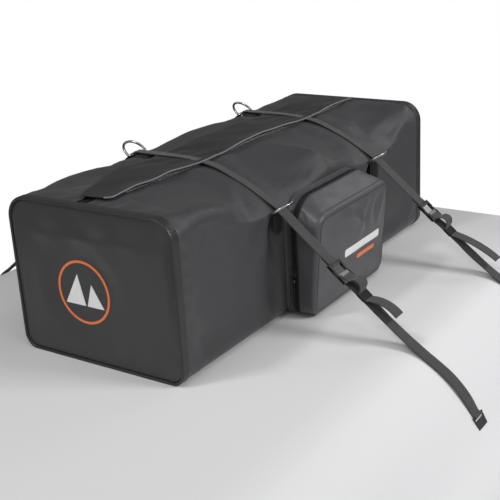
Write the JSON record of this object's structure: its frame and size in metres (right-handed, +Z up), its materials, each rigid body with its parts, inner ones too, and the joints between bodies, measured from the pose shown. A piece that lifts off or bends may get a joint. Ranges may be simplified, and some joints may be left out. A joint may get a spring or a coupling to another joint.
{
  "type": "soft rooftop cargo carrier",
  "caption": "Box-shaped soft cargo carrier with a zipped front pocket, a storm flap over the main zipper, D-rings and lashing straps that run down to door-frame clips.",
  "frame": {"origin": "centre of the bag's flat base, on the surface it rests on", "axes": "+X along the bag away from the end with the round badge, -Y towards the side with the pocket, +Z up"},
  "size_m": [0.98, 1.2934, 0.4787],
  "materials": {
    "coated_fabric": "charcoal PVC-coated fabric, satin",
    "panel_fabric": "charcoal PVC-coated fabric, satin",
    "flap_fabric": "darker coated fabric, satin",
    "pocket_fabric": "lighter grey coated fabric, satin",
    "piping": "black welded binding with fine ribs",
    "zipper_tape": "black woven tape",
    "zipper_teeth": "black coil",
    "slider_metal": "black painted die casting",
    "hook_and_loop": "black hook and loop",
    "tab_fabric": "black reinforced tab",
    "webbing": "dark grey woven webbing",
    "buckle_plastic": "black moulded plastic with grey bars",
    "keeper_elastic": "black elastic band",
    "clip_coating": "vinyl-coated steel",
    "nickel": "polished nickel wire",
    "cord": "black cord",
    "badge_orange": "orange moulded film",
    "badge_white": "white moulded film"
  },
  "bodies": {
    "bag": {"body_wrap": "coated_fabric", "end_panel_left": "panel_fabric", "end_panel_right": "panel_fabric", "end_piping_left": "piping", "end_piping_right": "piping", "zipper_tape_front": "zipper_tape", "zipper_tape_back": "zipper_tape", "zipper_teeth": "zipper_teeth", "zipper_end_stops": "slider_metal", "flap_seam_strip": "piping", "flap_loop_strip": "hook_and_loop", "front_ring_tabs": "tab_fabric", "back_ring_tabs": "tab_fabric", "badge_ring": "badge_orange", "badge_peaks": "badge_white", "pocket_rim": "coated_fabric", "pocket_fixed_tape": "zipper_tape"},
    "flap": {"top_flap": "flap_fabric", "flap_binding": "piping", "flap_hook_strip": "hook_and_loop"},
    "main_slider": {"main_slider": "slider_metal"},
    "main_pull": {"main_pull": "slider_metal"},
    "pocket_cover": {"pocket_cover": "pocket_fabric", "pocket_cover_tape": "zipper_tape", "pocket_piping": "piping", "pocket_white_bar": "badge_white", "pocket_orange_bar": "badge_orange"},
    "pocket_slider": {"pocket_slider": "slider_metal"},
    "pocket_pull": {"pocket_pull": "cord"},
    "strap_run_left": {"strap_run_left": "webbing"},
    "strap_run_right": {"strap_run_right": "webbing"},
    "front_ring_left": {"front_ring_left": "nickel"},
    "back_ring_left": {"back_ring_left": "nickel"},
    "front_ring_right": {"front_ring_right": "nickel"},
    "back_ring_right": {"back_ring_right": "nickel"},
    "leg_front_left": {"upper_webbing_front_left": "webbing", "buckle_front_left": "buckle_plastic", "lower_webbing_front_left": "webbing", "keeper_front_left": "keeper_elastic"},
    "door_clip_front_left": {"door_clip_front_left": "clip_coating"},
    "leg_front_right": {"upper_webbing_front_right": "webbing", "buckle_front_right": "buckle_plastic", "lower_webbing_front_right": "webbing", "keeper_front_right": "keeper_elastic"},
    "door_clip_front_right": {"door_clip_front_right": "clip_coating"},
    "leg_back_left": {"upper_webbing_back_left": "webbing", "buckle_back_left": "buckle_plastic", "lower_webbing_back_left": "webbing", "keeper_back_left": "keeper_elastic"},
    "door_clip_back_left": {"door_clip_back_left": "clip_coating"},
    "leg_back_right": {"upper_webbing_back_right": "webbing", "buckle_back_right": "buckle_plastic", "lower_webbing_back_right": "webbing", "keeper_back_right": "keeper_elastic"},
    "door_clip_back_right": {"door_clip_back_right": "clip_coating"}
  },
  "joints": [
    {"name": "strap_run_left_lift", "type": "hinge", "parent": "bag", "child": "strap_run_left", "pos_m": [-0.162, 0.148, 0.3143], "axis": [-1, 0, 0], "range_deg": [0, 115]},
    {"name": "strap_run_right_lift", "type": "hinge", "parent": "bag", "child": "strap_run_right", "pos_m": [0.24, 0.148, 0.3143], "axis": [-1, 0, 0], "range_deg": [0, 115]},
    {"name": "flap_hinge", "type": "hinge", "parent": "bag", "child": "flap", "pos_m": [0, 0.089, 0.3095], "axis": [-1, 0, 0], "range_deg": [0, 138.5]},
    {"name": "main_slider_slide", "type": "slide", "parent": "bag", "child": "main_slider", "axis": [1, 0, 0], "range_m": [0, 0.784]},
    {"name": "main_pull_lift", "type": "hinge", "parent": "main_slider", "child": "main_pull", "pos_m": [-0.392, 0.025, 0.30875], "axis": [0, -1, 0], "range_deg": [0, 69.5]},
    {"name": "pocket_cover_hinge", "type": "hinge", "parent": "bag", "child": "pocket_cover", "pos_m": [0.007, -0.2495, 0.008], "axis": [1, 0, 0], "range_deg": [0, 85]},
    {"name": "pocket_slider_slide", "type": "slide", "parent": "bag", "child": "pocket_slider", "axis": [0, 0, 1], "range_m": [-0.055, 0.075]},
    {"name": "pocket_pull_swing", "type": "hinge", "parent": "pocket_slider", "child": "pocket_pull", "pos_m": [-0.1441, -0.2115, 0.095], "axis": [0, 1, 0], "range_deg": [0, 135]},
    {"name": "leg_front_left_lift", "type": "hinge", "parent": "bag", "child": "leg_front_left", "pos_m": [-0.162, -0.19791, 0.23392], "axis": [-1, 0, 0], "range_deg": [0, 75]},
    {"name": "front_ring_left_swing", "type": "hinge", "parent": "bag", "child": "front_ring_left", "pos_m": [-0.162, -0.19508, 0.23055], "axis": [-1, 0, 0], "range_deg": [0, 37.5]},
    {"name": "leg_back_left_lift", "type": "hinge", "parent": "bag", "child": "leg_back_left", "pos_m": [-0.162, 0.148, 0.3143], "axis": [1, 0, 0], "range_deg": [0, 60]},
    {"name": "back_ring_left_tilt", "type": "hinge", "parent": "bag", "child": "back_ring_left", "pos_m": [-0.162, 0.148, 0.3099], "axis": [1, 0, 0], "range_deg": [0, 15]},
    {"name": "leg_front_right_lift", "type": "hinge", "parent": "bag", "child": "leg_front_right", "pos_m": [0.24, -0.19791, 0.23392], "axis": [-1, 0, 0], "range_deg": [0, 75]},
    {"name": "front_ring_right_swing", "type": "hinge", "parent": "bag", "child": "front_ring_right", "pos_m": [0.24, -0.19508, 0.23055], "axis": [-1, 0, 0], "range_deg": [0, 37.5]},
    {"name": "leg_back_right_lift", "type": "hinge", "parent": "bag", "child": "leg_back_right", "pos_m": [0.24, 0.148, 0.3143], "axis": [1, 0, 0], "range_deg": [0, 60]},
    {"name": "back_ring_right_tilt", "type": "hinge", "parent": "bag", "child": "back_ring_right", "pos_m": [0.24, 0.148, 0.3099], "axis": [1, 0, 0], "range_deg": [0, 15]},
    {"name": "door_clip_front_left_turn", "type": "hinge", "parent": "leg_front_left", "child": "door_clip_front_left", "pos_m": [-0.162, -0.60134, -0.10663], "axis": [-1, 0, 0], "range_deg": [-45, 75]},
    {"name": "door_clip_back_left_turn", "type": "hinge", "parent": "leg_back_left", "child": "door_clip_back_left", "pos_m": [-0.162, 0.65891, -0.09846], "axis": [1, 0, 0], "range_deg": [-45, 75]},
    {"name": "door_clip_front_right_turn", "type": "hinge", "parent": "leg_front_right", "child": "door_clip_front_right", "pos_m": [0.24, -0.60134, -0.10663], "axis": [-1, 0, 0], "range_deg": [-45, 75]},
    {"name": "door_clip_back_right_turn", "type": "hinge", "parent": "leg_back_right", "child": "door_clip_back_right", "pos_m": [0.24, 0.65891, -0.09846], "axis": [1, 0, 0], "range_deg": [-45, 75]}
  ],
  "couplings": [
    {"joint": "strap_run_right_lift", "follows": "strap_run_left_lift", "ratio": 1},
    {"joint": "flap_hinge", "follows": "strap_run_left_lift", "ratio": 1.2},
    {"joint": "main_pull_lift", "follows": "strap_run_left_lift", "ratio": 0.6},
    {"joint": "front_ring_left_swing", "follows": "leg_front_left_lift", "ratio": 0.5},
    {"joint": "back_ring_left_tilt", "follows": "leg_back_left_lift", "ratio": 0.25},
    {"joint": "front_ring_right_swing", "follows": "leg_front_right_lift", "ratio": 0.5},
    {"joint": "back_ring_right_tilt", "follows": "leg_back_right_lift", "ratio": 0.25}
  ]
}
